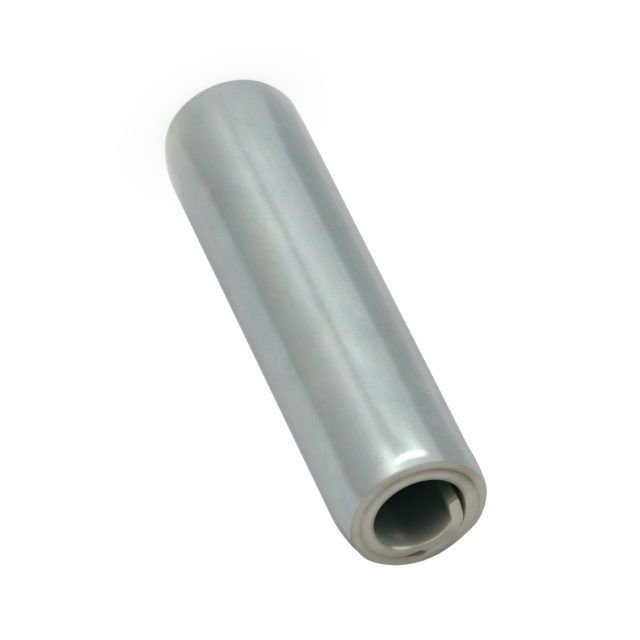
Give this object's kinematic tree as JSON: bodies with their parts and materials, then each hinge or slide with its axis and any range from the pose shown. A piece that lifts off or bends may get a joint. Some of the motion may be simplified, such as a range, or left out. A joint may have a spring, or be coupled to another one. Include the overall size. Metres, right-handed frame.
{
  "type": "coiled spring pin",
  "caption": "Coiled spring pin: a steel strip rolled a little over two turns, with swaged ends, pressed into a drilled hole to hold parts together.",
  "frame": {"origin": "centre of the bottom end, on the pin's axis", "axes": "+Z along the pin's axis, from the bottom end to the top end; +X through the strip's outer edge"},
  "size_m": [0.0084, 0.0084, 0.032],
  "materials": {
    "zinc_plated_steel": "bright zinc plate on spring steel, faintly blue-green, with fine drawing lines along the body"
  },
  "bodies": {
    "root": {"spring_pin": "zinc_plated_steel"}
  },
  "joints": []
}
